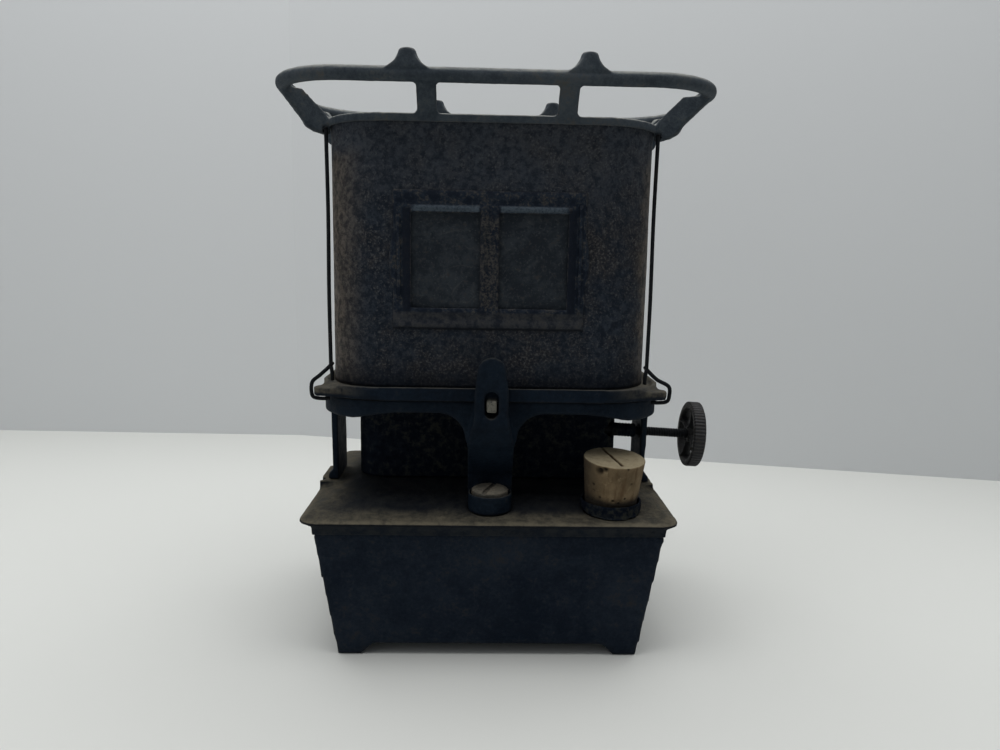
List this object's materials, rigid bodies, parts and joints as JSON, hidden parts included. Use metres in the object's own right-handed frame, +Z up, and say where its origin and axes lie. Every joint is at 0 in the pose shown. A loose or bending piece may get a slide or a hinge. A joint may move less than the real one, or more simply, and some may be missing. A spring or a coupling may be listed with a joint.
{
  "type": "oil stove",
  "caption": "Small antique cast-iron oil stove with a tapered font, corked filler, flat-wick burner, sheet-iron drum with a mica window and an open grate for irons or pans.",
  "frame": {"origin": "on the floor, under the middle of the overall outline, which the handwheel on the right shifts a few millimetres off the stove's own middle", "axes": "+Z up, +X to the right with the handwheel, -Y to the front with the window"},
  "size_m": [0.2013, 0.121, 0.262],
  "materials": {
    "cast_iron": "old grey-black casting with brown rust",
    "tray_iron": "rusty casting under pale dust",
    "grate_iron": "heat-scaled casting with rust",
    "drum_iron": "sooty sheet iron with brown mottling",
    "window_iron": "rusty pressed frame",
    "mica": "sooty mica, no longer clear",
    "wire_iron": "dark iron wire",
    "cork": "old dry cork",
    "burner_iron": "sooty rough burner",
    "dull_brass": "tarnished",
    "cotton_wick": "woven cotton, oily",
    "wheel_iron": "knurled wheel with old grease"
  },
  "bodies": {
    "base": {"font_body": "cast_iron", "font_top": "tray_iron", "filler_collar": "cast_iron", "cork": "cork", "stand_frame": "cast_iron", "foot_screws": "tray_iron", "deck_plate": "cast_iron", "drum": "drum_iron", "drum_rivets": "drum_iron", "window_frame": "window_iron", "mica_left": "mica", "mica_right": "mica", "mica_retainer": "drum_iron", "top_grate": "grate_iron", "tie_wire_front_left": "wire_iron", "tie_wire_front_right": "wire_iron", "tie_wire_rear_left": "wire_iron", "tie_wire_rear_right": "wire_iron", "burner_shell": "burner_iron", "wick_tube": "dull_brass", "air_plate": "dull_brass", "flame_guide": "dull_brass", "shaft_gland": "burner_iron"},
    "raiser": {"raiser_shaft": "wire_iron", "spur_wheels": "dull_brass", "handwheel": "wheel_iron"},
    "wick": {"wick": "cotton_wick"}
  },
  "joints": [
    {"name": "wheel_turn", "type": "hinge", "parent": "base", "child": "raiser", "pos_m": [0.0579, -0.0062, 0.0965], "axis": [0.9986, 0, -0.0523], "range_deg": [-120, 48]},
    {"name": "wick_slide", "type": "slide", "parent": "base", "child": "wick", "axis": [0, 0, 1], "range_m": [-0.0089, 0.0036]}
  ],
  "couplings": [
    {"joint": "wick_slide", "follows": "wheel_turn", "m_per_rad": 0.0042}
  ]
}
